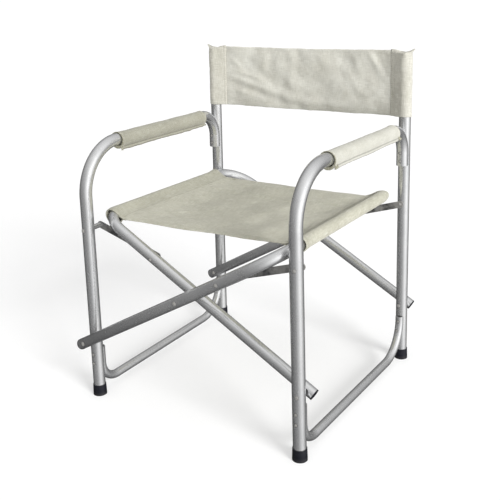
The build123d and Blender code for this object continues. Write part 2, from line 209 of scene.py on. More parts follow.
def steel(name):
    k = Mat(name)
    co = k.coords()
    n1 = k.noise(co, 300.0, 4.0, 0.6)
    n2 = k.ramp(k.noise(co, 900.0, 2.0, 0.5), 0.5, 0.7)
    base = k.mix(k.ramp(n1, 0.35, 0.7), (0.60, 0.59, 0.57), (0.42, 0.41, 0.39))
    base = k.mix(k.math("MULTIPLY", n2, 0.3), base, (0.22, 0.20, 0.18))
    # the axes of all heads run front to back: painted shade sits round the rims
    sp = k.node("ShaderNodeSeparateXYZ")
    k.link(k.node("ShaderNodeTexCoord").outputs["Normal"], sp.inputs[0])
    rim = k.ramp(k.math("ABSOLUTE", sp.outputs["Y"]), 0.78, 0.91, 1.0, 0.0)
    base = k.mix(k.math("MULTIPLY", rim, 0.85), base, (0.07, 0.068, 0.065))
    k.set(Base_Color=base, Metallic=0.6, Roughness=k.ramp(n1, 0.3, 0.7, 0.24, 0.42))
    k.bump(n1, 0.3, 0.0001)
    return k.m


def dark_steel(name, tone=1.0):
    # lacquered flat bar, worn bright at its edges
    k = Mat(name)
    co = k.coords()
    n1 = k.noise(co, 30.0, 5.0, 0.65)
    n2 = k.noise(k.scaled(co, (0.15, 1.0, 1.0)), 500.0, 3.0, 0.6)
    chips = k.ramp(k.noise(co, 120.0, 5.0, 0.7), 0.64, 0.70)
    geo = k.node("ShaderNodeNewGeometry")
    wear = k.ramp(k.math("MULTIPLY", k.ramp(geo.outputs["Pointiness"], 0.52, 0.60), k.ramp(n1, 0.35, 0.6)), 0.1, 0.8)
    base = k.mix(k.ramp(n1, 0.3, 0.7), tuple(tone * x for x in (0.095, 0.095, 0.098)), tuple(tone * x for x in (0.165, 0.165, 0.168)))
    base = k.mix(k.math("MULTIPLY", k.ramp(n2, 0.4, 0.7), 0.30), base, tuple(tone * x for x in (0.24, 0.24, 0.24)))
    base = k.mix(k.math("MAXIMUM", wear, k.math("MULTIPLY", chips, 0.6)), base, (0.50, 0.49, 0.47))
    k.set(Base_Color=base, Metallic=0.75, Roughness=k.ramp(n2, 0.3, 0.7, 0.34, 0.5))
    k.b.inputs["Coat Weight"].default_value = 0.15
    k.b.inputs["Coat Roughness"].default_value = 0.35
    k.bump(k.math("ADD", n2, k.math("MULTIPLY", chips, -0.8)), 0.25, 0.0001)
    return k.m


def black_plastic(name, tint=(0.006, 0.0065, 0.011)):
    k = Mat(name)
    co = k.coords()
    grain = k.noise(co, 1500.0, 3.0, 0.6)
    dust = k.ramp(k.noise(co, 55.0, 5.0, 0.7), 0.5, 0.75)
    scuff = k.ramp(k.noise(k.scaled(co, (1.0, 1.0, 0.35)), 190.0, 4.0, 0.7), 0.58, 0.72)
    sep = k.node("ShaderNodeSeparateXYZ")
    k.link(co, sep.inputs[0])
    low = k.ramp(sep.outputs["Z"], 0.0, 0.010, 1.0, 0.0)
    base = k.mix(k.math("MULTIPLY", dust, 0.30), tint, (0.022, 0.022, 0.027))
    base = k.mix(k.math("MULTIPLY", scuff, 0.25), base, (0.055, 0.054, 0.055))
    base = k.mix(k.math("MULTIPLY", low, 0.30), base, (0.06, 0.056, 0.05))
    k.set(Base_Color=base, Roughness=k.ramp(dust, 0.0, 1.0, 0.30, 0.48))
    k.b.inputs["Specular IOR Level"].default_value = 0.36
    k.bump(k.math("ADD", grain, k.math("MULTIPLY", scuff, -0.6)), 0.3, 0.0001)
    return k.m


def canvas(name, light, dark, stain, pitch=0.0009, mottle=1.0, thread=(0.9, 0.9, 0.86), taper=(), painted_seam_shadows=()):
    # plain woven cotton: warp and weft from the cloth's own flat coordinates
    k = Mat(name)
    at = k.node("ShaderNodeAttribute", attribute_name="weave")
    w = at.outputs["Vector"]
    wob = k.node("ShaderNodeTexNoise")
    wob.inputs["Scale"].default_value = 55.0
    wob.inputs["Detail"].default_value = 2.0
    k.link(w, wob.inputs["Vector"])
    off = k.node("ShaderNodeVectorMath", operation="MULTIPLY_ADD")
    k.link(wob.outputs["Color"], off.inputs[0])
    off.inputs[1].default_value = (0.0009, 0.0009, 0.0)
    k.link(w, off.inputs[2])
    sep = k.node("ShaderNodeSeparateXYZ")
    k.link(off.outputs[0], sep.inputs[0])
    sx = k.math("SINE", k.math("MULTIPLY", sep.outputs["X"], math.pi / pitch))
    sy = k.math("SINE", k.math("MULTIPLY", sep.outputs["Y"], math.pi / pitch))
    over = k.math("GREATER_THAN", k.math("MULTIPLY", sx, sy), 0.0)
    ax, ay = k.math("ABSOLUTE", sx), k.math("ABSOLUTE", sy)
    wv = k.node("ShaderNodeMix", data_type="FLOAT")
    k.link(over, wv.inputs[0])
    k.link(ax, wv.inputs[2])
    k.link(ay, wv.inputs[3])
    weave = k.math("MULTIPLY", wv.outputs[0], k.math("MAXIMUM", ax, ay))
    slub_a = k.noise(k.scaled(w, (0.06, 1.0, 1.0)), 900.0, 3.0, 0.65)
    slub_b = k.noise(k.scaled(w, (1.0, 0.06, 1.0)), 900.0, 3.0, 0.65)
    fibre = k.noise(w, 420.0, 4.0, 0.7)
    cloud = k.noise(w, 11.0, 5.0, 0.6)
    dirt = k.ramp(k.noise(w, 26.0, 6.0, 0.68, 0.6), 0.50, 0.78)
    base = k.mix(k.ramp(cloud, 0.32, 0.68), dark, light)
    s = k.math("ADD", slub_a, slub_b)
    big_a = k.noise(k.scaled(w, (0.09, 1.0, 1.0)), 420.0, 3.0, 0.7)
    big_b = k.noise(k.scaled(w, (1.0, 0.09, 1.0)), 420.0, 3.0, 0.7)
    s2 = k.math("ADD", big_a, big_b)
    base = k.mix(k.math("MULTIPLY", k.ramp(s2, 1.0, 1.25), 0.13 * mottle), base, thread)
    base = k.mix(k.math("MULTIPLY", k.ramp(s2, 1.0, 0.76), 0.17 * mottle), base, tuple(0.62 * x for x in dark))
    base = k.mix(k.math("MULTIPLY", k.ramp(s, 0.98, 1.22), 0.30 * mottle), base, thread)
    base = k.mix(k.math("MULTIPLY", k.ramp(s, 0.98, 0.78), 0.34 * mottle), base, tuple(0.66 * x for x in dark))
    base = k.mix(k.math("MULTIPLY", k.ramp(fibre, 0.55, 0.75), 0.22 * mottle), base, tuple(0.74 * x for x in dark))
    base = k.mix(k.math("MULTIPLY", dirt, 0.30), base, stain)
    base = k.mix(k.math("MULTIPLY", k.ramp(weave, 0.35, 0.0), 0.30), base, tuple(0.5 * x for x in dark))
    # painted shade ramped across the cloth: (axis, from, to, darkening at from, darkening at to)
    flat = k.node("ShaderNodeSeparateXYZ")
    k.link(w, flat.inputs[0])
    for axis, f0, f1, d0, d1 in taper:
        base = k.mix(k.ramp(flat.outputs[axis], f0, f1, d0, d1), base, tuple(0.35 * x for x in dark))
    # painted shadow lines in the creases beside seams: (centre across the cloth, half width, amount)
    for c0, half, amount in painted_seam_shadows:
        away = k.math("ABSOLUTE", k.math("SUBTRACT", flat.outputs["X"], c0))
        base = k.mix(k.ramp(away, 0.35 * half, half, amount, 0.0), base, tuple(0.30 * x for x in dark))
    k.set(Base_Color=base, Roughness=k.ramp(fibre, 0.3, 0.7, 0.82, 0.95))
    k.b.inputs["Specular IOR Level"].default_value = 0.25
    k.b.inputs["Sheen Weight"].default_value = 0.18
    k.b.inputs["Sheen Roughness"].default_value = 0.55
    k.b.inputs["Sheen Tint"].default_value = (1.0, 0.98, 0.93, 1.0)
    h = k.math("ADD", k.math("MULTIPLY", weave, 1.0), k.math("MULTIPLY", s, 0.9))
    h = k.math("ADD", h, k.math("MULTIPLY", s2, 0.9))
    h = k.math("ADD", h, k.math("MULTIPLY", fibre, 0.8))
    k.bump(h, 0.5, 0.00028)
    return k.m


def thread_mat(name, col):
    k = Mat(name)
    co = k.coords()
    n = k.noise(co, 1800.0, 2.0, 0.6)
    n2 = k.noise(co, 45.0, 4.0, 0.6)
    base = k.mix(k.ramp(n, 0.3, 0.7), tuple(0.7 * x for x in col), col)
    base = k.mix(k.math("MULTIPLY", k.ramp(n2, 0.45, 0.7), 0.4), base, tuple(0.55 * x for x in col))
    k.set(Base_Color=base, Roughness=0.85)
    k.bump(n, 0.4, 0.0001)
    return k.m


ALU_LEG = aluminium("tube_leg", 0.0, 0.500, 0.585)
ALU_POST = aluminium("tube_post", 0.0, 5.0, 6.0)
ALU_STRETCH = aluminium("tube_stretcher", 0.0, -2.0, -1.0)
ALU_A = aluminium("tube_seat_left", 60.5, 0.405, 0.432)
# ALU_B: painted shade darkens the right seat rail's tube towards its low ends
ALU_B = aluminium("tube_seat_right", -60.5, 0.405, 0.432, painted_shade_low=(0.30, 0.17, 0.55))
STEEL = steel("rivet_metal")
DARK = dark_steel("strut_metal")
DARKER = dark_steel("strut_metal_black", 0.42)
PLASTIC = black_plastic("cap_plastic")
SPACER = black_plastic("spacer_plastic", (0.02, 0.02, 0.021))
# seat: painted shade darkens the left pocket, and painted shadow lines run beside both seams
SEAT_C = canvas("seat_canvas_cloth", (0.470, 0.460, 0.368), (0.375, 0.366, 0.288), (0.31, 0.29, 0.22),
                taper=(("X", 0.1205, 0.1265, 0.26, 0.0),), painted_seam_shadows=((0.1235, 0.0016, 0.22), (0.5440, 0.0016, 0.22)))
# back panel: painted shade darkens the lowest band of the cloth, below its fold
BACK_C = canvas("cream_canvas_cloth", (0.675, 0.668, 0.605), (0.565, 0.553, 0.485), (0.45, 0.425, 0.345),
                taper=(("Y", 0.016, 0.085, 0.15, 0.0),))
# pockets: a darker copy of the back canvas, painted shade on the flaps
POCKET_C = canvas("pocket_canvas_cloth", (0.545, 0.532, 0.470), (0.455, 0.441, 0.376), (0.36, 0.335, 0.265))
# sleeves: the left one gets a much darker copy of the same canvas, painted shade on the side away from the key light;
# thin painted shadow lines run along each fin
SLEEVE_C = {"right": canvas("sleeve_canvas_cloth_right", (0.530, 0.524, 0.468), (0.445, 0.438, 0.380), (0.37, 0.350, 0.28),
                            mottle=0.45, painted_seam_shadows=((0.3061, 0.0016, 0.55), (0.3004, 0.0010, 0.6))),
            "left": canvas("sleeve_canvas_cloth_left", (0.325, 0.318, 0.258), (0.262, 0.254, 0.200), (0.22, 0.205, 0.15),
                           mottle=0.45, painted_seam_shadows=((0.0061, 0.0018, 0.6), (0.0004, 0.0010, 0.6)))}
# hems: a darker, greener copy of the canvas, painted shade inside the sleeve mouths
HEM_C = canvas("hem_canvas_cloth", (0.300, 0.290, 0.205), (0.235, 0.225, 0.155), (0.19, 0.175, 0.12))
THREAD = thread_mat("sewing_thread", (0.80, 0.78, 0.70))
THREAD_D = thread_mat("sewing_thread_seat", (0.40, 0.385, 0.30))

for name, o in nodes.items():
    if name.startswith("arm_leg_tube"):
        mat = ALU_LEG
    elif name.startswith("back_post"):
        mat = ALU_POST
    elif name.startswith("stretcher_") and "rivets" not in name:
        mat = ALU_STRETCH
    elif name == "seat_frame_left_rail":
        mat = ALU_A
    elif name == "seat_frame_right_rail":
        mat = ALU_B
    elif name == "strut_rear_right":
        mat = DARKER
    elif name == "strut_spacer_front_left":
        mat = ALU_STRETCH
    elif name.startswith(("strut_front", "strut_rear")):
        mat = DARK
    elif "foot_cap" in name or "plug" in name:
        mat = PLASTIC
    elif "spacer" in name:
        mat = SPACER
    else:
        mat = STEEL
    o.data.materials.clear()
    o.data.materials.append(mat)

# ------------------------------------------------------------------
# mesh helpers
# ------------------------------------------------------------------


def waves(seed, n, lo, hi):
    # a fixed set of plane waves: smooth, repeatable unevenness
    g = np.random.RandomState(seed)
    ang = g.uniform(0, 2 * np.pi, n)
    wl = np.exp(g.uniform(np.log(lo), np.log(hi), n))
    ph = g.uniform(0, 2 * np.pi, n)
    am = (wl / hi) ** 0.7
    am = am / np.sqrt((am ** 2).sum() / 2)

    def f(x, y):
        out = np.zeros(np.broadcast(x, y).shape)
        for a, l, p, q in zip(ang, wl, ph, am):
            out += q * np.sin(2 * np.pi * (x * np.cos(a) + y * np.sin(a)) / l + p)
        return out
    return f


def sstep(t):
    t = np.clip(t, 0, 1)
    return t * t * (3 - 2 * t)


def new_object(name, verts, faces, weave=None, mats=(), smooth=True):
    me = bpy.data.meshes.new(name)
    me.from_pydata([tuple(v) for v in verts], [], [tuple(int(i) for i in f) for f in faces])
    if smooth:
        me.polygons.foreach_set("use_smooth", [True] * len(me.polygons))
    if weave is not None:
        a = me.attributes.new("weave", "FLOAT_VECTOR", "POINT")
        w = np.zeros((len(verts), 3), np.float32)
        w[:, :2] = np.asarray(weave).reshape(-1, 2)
        a.data.foreach_set("vector", w.ravel())
    for mt in mats:
        me.materials.append(mt)
    me.update()
    o = bpy.data.objects.new(name, me)
    bpy.context.scene.collection.objects.link(o)
    return o


def grid_faces(nu, nv, flip=False, wrap_u=False):
    f = []
    for i in range(nu if wrap_u else nu - 1):
        i2 = (i + 1) % nu
        for j in range(nv - 1):
            q = (i * nv + j, i2 * nv + j, i2 * nv + j + 1, i * nv + j + 1)
            f.append(q[::-1] if flip else q)
    return f


def solidify(o, t, offset=0.0):
    s = o.modifiers.new("thickness", "SOLIDIFY")
    s.thickness = t
    s.offset = offset
    s.use_even_offset = False
    s.use_rim = True
    return o


def unit(v):
    return v / np.maximum(np.linalg.norm(v, axis=-1, keepdims=True), 1e-12)


def stitches(name, lines, mat, length=3.0, gap=1.2, width=0.62, height=0.36, seed=1):
    # lines: list of (points (n,3) mm, normals (n,3)).  Each stitch is a short
    # bowed thread that dips into the cloth at both ends.
    g = np.random.RandomState(seed)
    V, F = [], []
    sides, rings = 6, 5
    for P, N in lines:
        P, N = np.asarray(P, float), np.asarray(N, float)
        s = np.concatenate([[0], np.cumsum(np.linalg.norm(np.diff(P, axis=0), axis=1))])
        pos = g.uniform(0.3, 1.5)
        while pos + length < s[-1]:
            ll = length * g.uniform(0.9, 1.08)
            ts = pos + ll * np.linspace(0, 1, rings)
            C = np.stack([np.interp(ts, s, P[:, k]) for k in range(3)], 1)
            Nn = unit(np.stack([np.interp(ts, s, N[:, k]) for k in range(3)], 1))
            T = unit(np.gradient(C, axis=0))
            B = unit(np.cross(T, Nn))
            arch = np.sin(np.pi * np.linspace(0, 1, rings))
            C = C + Nn * (height * (arch - 0.35))[:, None] + B * g.normal(0, 0.06)
            base = len(V)
            for r in range(rings):
                rad = 0.5 * width * (0.45 + 0.55 * arch[r])
                for q in range(sides):
                    a = 2 * np.pi * q / sides
                    V.append(C[r] + B[r] * rad * np.cos(a) + Nn[r] * rad * np.sin(a) * 0.75)
            for r in range(rings - 1):
                for q in range(sides):
                    q2 = (q + 1) % sides
                    F.append((base + r * sides + q, base + r * sides + q2,
                              base + (r + 1) * sides + q2, base + (r + 1) * sides + q))
            F.append(tuple(base + q for q in range(sides))[::-1])
            F.append(tuple(base + (rings - 1) * sides + q for q in range(sides)))
            pos += ll + gap * g.uniform(0.85, 1.2)
    return new_object(name, np.array(V) * MM, F, mats=[mat])


def strands(name, roots, mat, seed=3, width=0.5):
    # loose thread ends.  roots: list of (point, direction, length) in mm
    g = np.random.RandomState(seed)
    V, F = [], []
    sides, rings = 5, 7
    for p, d, ln in roots:
        p, d = np.array(p, float), unit(np.array(d, float))
        bend = g.normal(0, 1, 3)
        bend -= d * (bend @ d)
        bend = unit(bend)
        t = np.linspace(0, 1, rings)
        C = p + np.outer(t * ln, d) + np.outer(ln * 0.45 * t ** 2, bend) + np.outer(-ln * 0.25 * t ** 2, (0, 0, 1))
        T = unit(np.gradient(C, axis=0))
        side = unit(np.cross(T, np.tile((0.31, 0.17, 0.93), (rings, 1))))
        up = np.cross(side, T)
        base = len(V)
        for r in range(rings):
            rad = width / 2 * (1 - 0.55 * t[r])
            for q in range(sides):
                a = 2 * np.pi * q / sides
                V.append(C[r] + side[r] * rad * np.cos(a) + up[r] * rad * np.sin(a))
        for r in range(rings - 1):
            for q in range(sides):
                q2 = (q + 1) % sides
                F.append((base + r * sides + q, base + r * sides + q2,
                          base + (r + 1) * sides + q2, base + (r + 1) * sides + q))
        F.append(tuple(base + q for q in range(sides))[::-1])
        F.append(tuple(base + (rings - 1) * sides + q for q in range(sides)))
    return new_object(name, np.array(V) * MM, F, mats=[mat])


def normals_of(P, sign=1.0):
    # P (nu, nv, 3): normals of a grid
    du = np.gradient(P, axis=0)
    dv = np.gradient(P, axis=1)
    return unit(np.cross(du, dv)) * sign


def arclen(P, axis):
    d = np.linalg.norm(np.diff(P, axis=axis), axis=-1)
    z = np.zeros_like(np.take(d, [0], axis=axis))
    return np.cumsum(np.concatenate([z, d], axis=axis), axis=axis)


# ------------------------------------------------------------------
# frame numbers shared with the CAD model, mm, row frame
# ------------------------------------------------------------------
HALF_W, HALF_D, Z_PIVOT = 272.0, 263.0, 144.0
LEAN, TOE = math.radians(0.5), math.atan(2.8 / 263.0)
CT, ST = math.cos(math.radians(29.5)), math.sin(math.radians(29.5))
ZR, RAIL = 434.81, 242.0


def place(side, p):
    # point of a side frame's flat drawing (x out of its plane, y from the
    # frame's middle, z up) to the row frame
    s = 1.0 if side == "right" else -1.0
    p = np.asarray(p, float)
    x, y, z = p[..., 0], p[..., 1], p[..., 2] - Z_PIVOT
    a = -s * LEAN
    x1, z1 = x * math.cos(a) + z * math.sin(a), -x * math.sin(a) + z * math.cos(a)
    b = -s * TOE
    x2, y2 = x1 * math.cos(b) - y * math.sin(b), x1 * math.sin(b) + y * math.cos(b)
    return np.stack([x2 + s * HALF_W, y2, z1 + Z_PIVOT], axis=-1)


# ------------------------------------------------------------------
# seat sling: one sewn cloth, a pocket round each rail, the tube bends
# away inside its ends
# ------------------------------------------------------------------
Y0, Y1 = -211.0, 219.0
HEM = 12.0
GAP_H = 1.5


def rail_bend(y, side):
    # the bend beside the inner leg is tighter than the other one
    if side < 0:
        f0, rf, b0, rb = -233.5 + 52.0, 52.0, 292.5 - 80.0, 80.0
    else:
        f0, rf, b0, rb = -292.5 + 80.0, 80.0, 233.5 - 52.0, 52.0
    s = np.where(y < f0, (f0 - y) / rf, np.where(y > b0, (y - b0) / rb, 0.0))
    s = np.clip(s, 0, 0.9)
    phi = np.arcsin(s)
    return np.where(y < f0, rf, rb) * (1 - np.cos(phi)), phi


def skew(y, side):
    # the cloth sits a little further forward on the left rail than on the right
    t = (y - Y0) / (Y1 - Y0)
    return y + (-3.0 * (1 - t) - 10.0 * t if side < 0 else 5.0 * (1 - t) + 7.0 * t)


def pocket_section(y, side):
    # in a mirrored plane where +x points outboard.  Returns bottom seam,
    # round part and top seam of the cloth at one y
    o, phi = rail_bend(np.array(skew(y, side)), side)
    o, phi = float(o), float(phi)
    c = np.array([RAIL - o * CT, ZR - o * ST])
    e = min(y - Y0, Y1 - y)
    flare = float(sstep((30.0 - e) / 30.0))
    loose = float(sstep((48.0 - (y - Y0)) / 48.0)) if side < 0 else 0.0
    r = 13.55 + 2.1 * flare + 1.3 * loose
    c = c + np.array([2.4, -1.7]) * loose
    a = (r + 1.2 * flare) / math.cos(phi)
    d = np.array([-CT, -ST])
    n = np.array([-ST, CT])          # perpendicular, points up and outboard-ish
    sx_ = min(RAIL - 33.0, c[0] - a * CT - 8.5)
    blendy = float(sstep((o) / 14.0))
    sx_ = (RAIL - 33.0) * (1 - blendy) + sx_ * blendy
    sx_ = min(sx_, c[0] - a * CT - 6.0)
    sz = 433.2 - 0.72 * o * ST
    sep = 1.5 + 1.6 * float(sstep((HEM + 4.0 - e) / 6.0))
    top = np.array([sx_, sz])
    bot = np.array([sx_, sz - sep])

    def tangents(p):
        q = p - c
        u, v = (q @ d) / a, (q @ n) / r
        dist = math.hypot(u, v)
        base = math.atan2(v, u)
        k = math.acos(min(1.0, 1.0 / dist))
        return base + k, base - k
    tt = tangents(top)
    tb = tangents(bot)

    def at(t):
        return c + d * a * math.cos(t) + n * r * math.sin(t)
    # choose the upper tangent for the top seam, lower one for the bottom
    t_top = max(tt, key=lambda t: at(t)[1])
    t_bot = min(tb, key=lambda t: at(t)[1])
    # go round the outboard side, away from the seam
    out = math.pi
    def norm(t, ref):
        while t - ref > math.pi:
            t -= 2 * math.pi
        while t - ref < -math.pi:
            t += 2 * math.pi
        return t
    t_top, t_bot = norm(t_top, out), norm(t_bot, out)
    arc = np.array([at(t) for t in np.linspace(t_bot, t_top, 27)])
    return top, bot, arc


N_HEM, N_ST, N_MID = 5, 8, 121
f_big, f_mid, f_small = waves(11, 14, 90, 240), waves(12, 18, 30, 80), waves(13, 22, 9, 26)


def seat_section(y):
    pts = []
    tops = []
    ys_ = []
    for side in (-1, 1):
        top, bot, arc = pocket_section(y, side)
        inner = bot + np.array([-10.0, 0.2])
        a = [inner + (bot - inner) * t for t in np.linspace(0, 1, N_HEM)[:-1]]
        b = [bot + (arc[0] - bot) * t for t in np.linspace(0, 1, N_ST)[:-1]]
        # the cloth between seam and rail hangs a touch below the straight line
        c = list(arc)
        e = []
        for t in np.linspace(0, 1, N_ST)[1:-1]:
            p = arc[-1] + (top - arc[-1]) * t
            p = p + np.array([0, -1.6 * math.sin(math.pi * t)])
            e.append(p)
        side_pts = np.array(a + b + c + e)
        side_pts[:, 0] *= side
        ys_.append(np.full(len(side_pts), skew(y, side)))
        top = top * np.array([side, 1.0])
        tops.append(top)
        pts.append(side_pts)
    L, R = tops
    t = np.linspace(0, 1, N_MID)
    x = L[0] + (R[0] - L[0]) * t
    z = L[1] + (R[1] - L[1]) * t
    edge = min(y - Y0, Y1 - y)
    taut = 0.16 + 0.84 * float(sstep(edge / 130.0))
    z = z - 10.5 * taut * (1 - (2 * t - 1) ** 2) ** 0.9
    mid = np.stack([x, z], 1)
    ym = skew(y, -1) + (skew(y, 1) - skew(y, -1)) * t
    return np.concatenate([pts[0], mid, pts[1][::-1]]), np.concatenate([ys_[0], ym, ys_[1]])


turn = [(0.75 - 0.75 * math.sin(a), 0.75 * (1 + math.cos(a))) for a in (math.pi * 0.25, math.pi * 0.5, math.pi * 0.75)]
rows = [(Y0 + d, GAP_H) for d in (HEM, 9.0, 6.0, 3.0, 1.0)]
rows += [(Y0 + d, h) for d, h in turn]
inner_y = [Y0 + d for d in (1.0, 2.5, 4.5, 6.5, 8.2, 9.4, 10.6, 12.5, 15.0, 18.0)]
inner_y += list(np.linspace(Y0 + 21.5, Y1 - 21.5, 112))
inner_y += [Y1 - d for d in (18.0, 15.0, 12.5, 10.6, 9.4, 8.2, 6.5, 4.5, 2.5, 1.0)]
rows += [(y, 0.0) for y in inner_y]
rows += [(Y1 - d, h) for d, h in turn[::-1]]
rows += [(Y1 - d, GAP_H) for d in (1.0, 3.0, 6.0, 9.0, HEM)]
secs = []
for y, h in rows:
    S, yw = seat_section(min(max(y, Y0), Y1))
    T = unit(np.gradient(S, axis=0))
    nrm = np.stack([T[:, 1], -T[:, 0]], 1)
    S = S + nrm * h
    secs.append(np.stack([S[:, 0], yw, S[:, 1]], 1))
P = np.array(secs).transpose(1, 0, 2)                # (nu, nv, 3)
nu, nv = P.shape[:2]
n_side = N_HEM - 1 + N_ST - 1 + 27 + N_ST - 2
i_seam_l, i_seam_r = n_side, n_side + N_MID - 1
X, Yy = P[..., 0], P[..., 1]
is_mid = np.zeros((nu, nv))
ii = np.arange(nu)
taper = np.clip(np.minimum(ii - i_seam_l, i_seam_r - ii) / 10.0, 0, 1)
fade_all = np.clip(np.minimum(ii - (i_seam_l - N_ST), (i_seam_r + N_ST) - ii) / 8.0, 0, 1)
dz = 1.15 * f_big(X, Yy) * taper[:, None] + 0.32 * f_mid(X, Yy) * fade_all[:, None] + 0.07 * f_small(X, Yy)
dz *= 0.35 + 0.65 * sstep(np.minimum(Yy - Yy.min(), Yy.max() - Yy) / 70.0)


def ridge(x, y, pts, amp, width, ends=30.0, sharp=2.0):
    # raised crease along a polyline, fading out at its ends
    pts = np.array(pts, float)
    best = np.full(x.shape, 1e9)
    along = np.zeros(x.shape)
    acc = 0.0
    for p, q in zip(pts[:-1], pts[1:]):
        v = q - p
        ln = np.linalg.norm(v)
        t = np.clip(((x - p[0]) * v[0] + (y - p[1]) * v[1]) / ln ** 2, 0, 1)
        dd = np.hypot(x - p[0] - t * v[0], y - p[1] - t * v[1])
        m_ = dd < best
        best = np.where(m_, dd, best)
        along = np.where(m_, acc + t * ln, along)
        acc += ln
    fade_ = sstep(along / ends) * sstep((acc - along) / ends)
    return amp * fade_ * np.exp(-(best / width) ** sharp)


# the fold line the cloth was stored with, and soft pulls from the corners
dz += ridge(X, Yy, [(-196, 104), (-60, 108), (60, 111), (200, 106)], 1.5, 5.5, 25) * taper[:, None]
dz -= ridge(X, Yy, [(-190, 92), (-40, 96), (60, 99), (198, 95)], 0.8, 7.0, 25) * taper[:, None]
dz += ridge(X, Yy, [(-196, -178), (-150, -120), (-90, -70)], 1.1, 9.0, 40) * taper[:, None]
dz += ridge(X, Yy, [(-190, -192), (-120, -165), (-40, -150)], 0.8, 8.0, 40) * taper[:, None]
dz += ridge(X, Yy, [(196, -188), (140, -140), (80, -110)], 0.8, 9.0, 40) * taper[:, None]
dz += ridge(X, Yy, [(190, 190), (140, 140), (90, 120)], 0.9, 9.0, 40) * taper[:, None]
dz += ridge(X, Yy, [(-196, 196), (-150, 150), (-110, 130)], 0.9, 9.0, 40) * taper[:, None]
# short puckers along both seams
for k_, (xs_, sg) in enumerate(((-203, 1), (203, -1))):
    g_ = np.random.RandomState(40 + k_)
    for y_ in np.arange(Y0 + 20, Y1 - 15, 17.0):
        y_ = y_ + g_.uniform(-5, 5)
        ln_ = g_.uniform(14, 34)
        dz += ridge(X, Yy, [(xs_, y_), (xs_ + sg * ln_, y_ + g_.uniform(-7, 7))], g_.uniform(0.25, 0.6), 3.4, 10) * fade_all[:, None]
N0 = normals_of(P)
up_sign = np.sign(N0[(i_seam_l + i_seam_r) // 2, nv // 2, 2])
N0 = N0 * up_sign
P = P + N0 * dz[..., None]
# seams and hems are drawn in by their stitches
hem_dip = np.array([0.30 * math.exp(-((y - Y0 - 9.0) / 1.6) ** 2) + 0.30 * math.exp(-((Y1 - 9.0 - y) / 1.6) ** 2)
                    if h == 0 else 0.0 for y, h in rows])
P = P - N0 * hem_dip[None, :, None]
seam_dip = 0.45 * (np.exp(-((ii - i_seam_l) / 1.3) ** 2) + np.exp(-((ii - i_seam_r) / 1.3) ** 2))
P = P - N0 * seam_dip[:, None, None]
# the front edge and the rear edge wander a little
wob = 0.8 * f_mid(X * 1.0, 0 * X) + 0.2 * f_small(X, 0 * X)
near = np.clip(1 - np.minimum(Yy - Y0, Y1 - Yy) / 40.0, 0, 1)
P[..., 1] += wob * near * 0.4
U = arclen(P, 0)
Vv = arclen(P, 1)
u_mid = np.repeat(U[:, nv // 2][:, None], nv, 1)
v_mid = np.repeat(Vv[(i_seam_l + i_seam_r) // 2][None, :], nu, 0)
W = np.stack([u_mid, v_mid], -1) * MM
seat = new_object("seat_sling", P.reshape(-1, 3) * MM, grid_faces(nu, nv, flip=(up_sign < 0)), W, [SEAT_C])
solidify(seat, 1.2 * MM)
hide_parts("seat_panel", "seat_pocket_left", "seat_pocket_right")

row_of = {round(y, 3): j for j, (y, h) in enumerate(rows) if h == 0}
j_front = min(range(nv), key=lambda j: (rows[j][1] != 0, abs(rows[j][0] - (Y0 + 9.4))))
j_rear = min(range(nv), key=lambda j: (rows[j][1] != 0, abs(rows[j][0] - (Y1 - 9.4))))
out_js = [j for j in range(nv) if rows[j][1] == 0]
skin = 0.62
NN = normals_of(P) * up_sign
lines = []
for j in (j_front, j_rear):
    lines.append((P[:, j] + NN[:, j] * skin, NN[:, j]))
for i in (i_seam_l, i_seam_r):
    lines.append((P[i, out_js] + NN[i, out_js] * skin, NN[i, out_js]))
seat_st = stitches("seat_stitching", lines, THREAD_D, seed=5)

roots = []
g = np.random.RandomState(8)
corner = P[i_seam_l - 4, out_js[0]]
for _ in range(16):
    roots.append((corner + g.normal(0, 1, 3) * (3.5, 1.2, 1.6), (g.normal(0, .8), -1.0, g.normal(-0.2, .5)), g.uniform(3, 8)))
corner = P[i_seam_l - 12, out_js[-1]]
for _ in range(14):
    roots.append((corner + g.normal(0, 1, 3) * (6, 1.0, 2.0), (g.normal(0, .8), 1.0, g.normal(0.3, .5)), g.uniform(3, 7)))
corner = P[i_seam_r - 8, out_js[0]]
for _ in range(8):
    roots.append((corner + g.normal(0, 1, 3) * (8, 1.0, 1.0), (g.normal(0, .8), -1.0, g.normal(-0.2, .4)), g.uniform(2, 5)))
seat_fray = strands("seat_loose_threads", roots, THREAD_D)

# ------------------------------------------------------------------
# back sling: a sewn pocket with its flap on each post, and the panel
# whose edges are caught between the flaps
# ------------------------------------------------------------------
BZ0, BZ1 = 620.5, 775.5
RP = 15.1
SEAM = 33.0


def flat_top(z):
    # 0 where the pocket is round, 1 where it is sewn flat at its top
    return float(sstep((z - 768.2) / 7.0))


